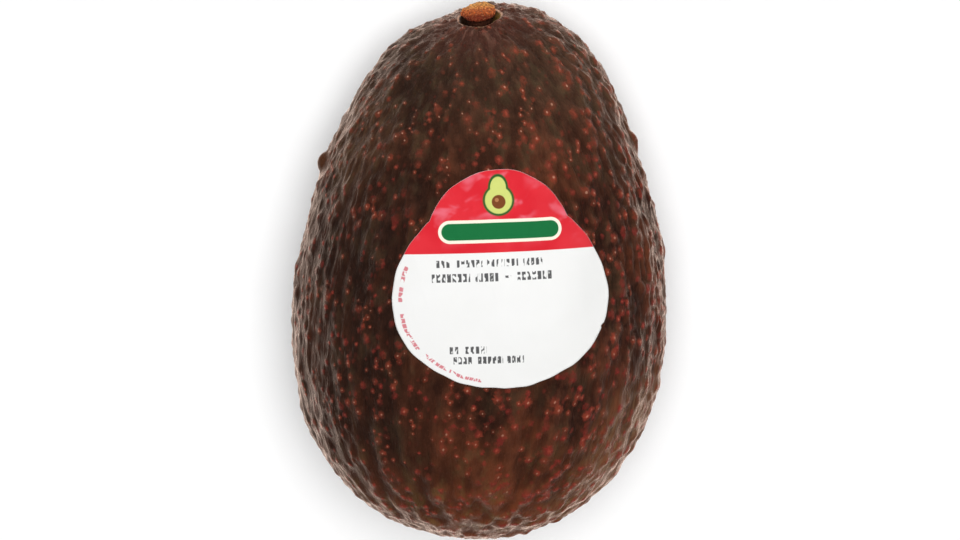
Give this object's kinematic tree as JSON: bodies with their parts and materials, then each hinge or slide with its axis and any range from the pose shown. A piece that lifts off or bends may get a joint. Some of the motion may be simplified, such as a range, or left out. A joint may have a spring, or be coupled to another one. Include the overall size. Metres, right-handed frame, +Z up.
{
  "type": "avocado",
  "caption": "Ripe avocado lying on its side: knobbly dark egg-shaped fruit with a cork-like stalk stub in its socket and a thin paper label on top.",
  "frame": {"origin": "centre of the overall box at its base; z = 0 is the surface the fruit rests on", "axes": "+Y along the fruit's length towards the stem end, +X across it, +Z up out of the side that carries the label"},
  "size_m": [0.0682, 0.0998, 0.0676],
  "materials": {
    "skin": "knobbly, semi-gloss, near-black purple brown with reddish-brown specks",
    "stem_cork": "rough, granular, orange brown",
    "label_paper": "thin coated paper, printed red above and white below"
  },
  "bodies": {
    "root": {"fruit": "skin", "stem_stub": "stem_cork", "label": "label_paper"}
  },
  "joints": []
}
